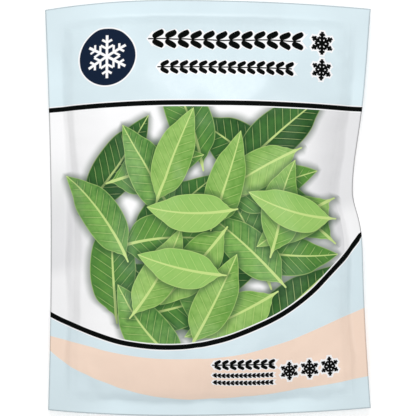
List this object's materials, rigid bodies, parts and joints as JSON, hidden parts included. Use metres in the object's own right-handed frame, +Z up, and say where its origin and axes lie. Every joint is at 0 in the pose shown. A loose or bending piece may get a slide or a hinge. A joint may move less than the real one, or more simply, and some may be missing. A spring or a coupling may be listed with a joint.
{
  "type": "sealed bag of frozen okra pods",
  "caption": "Flat printed plastic bag, heat-sealed along all four edges and filled with loose whole okra pods, lying on its back.",
  "frame": {"origin": "on the surface that the bag lies on, under the middle of the bag's outline", "axes": "+X across the bag to the right of its printed face, +Y towards its top edge, +Z up out of the printed face"},
  "size_m": [0.2103, 0.267, 0.0452],
  "materials": {
    "front_film": "satin printed film, pale blue ends and a white panel",
    "back_film": "satin printed film, pale blue",
    "okra": "matte downy green plant skin, lightly frosted"
  },
  "bodies": {
    "root": {"front_film": "front_film", "back_film": "back_film", "pod_01": "okra", "pod_02": "okra", "pod_03": "okra", "pod_04": "okra", "pod_05": "okra", "pod_06": "okra", "pod_07": "okra", "pod_08": "okra", "pod_09": "okra", "pod_10": "okra", "pod_11": "okra", "pod_12": "okra", "pod_13": "okra", "pod_14": "okra", "pod_15": "okra", "pod_16": "okra", "pod_17": "okra", "pod_18": "okra", "pod_19": "okra", "pod_20": "okra", "pod_21": "okra", "pod_22": "okra", "pod_23": "okra", "pod_24": "okra", "pod_25": "okra", "pod_26": "okra", "pod_27": "okra", "pod_28": "okra", "pod_29": "okra", "pod_30": "okra", "pod_31": "okra", "pod_32": "okra"}
  },
  "joints": []
}
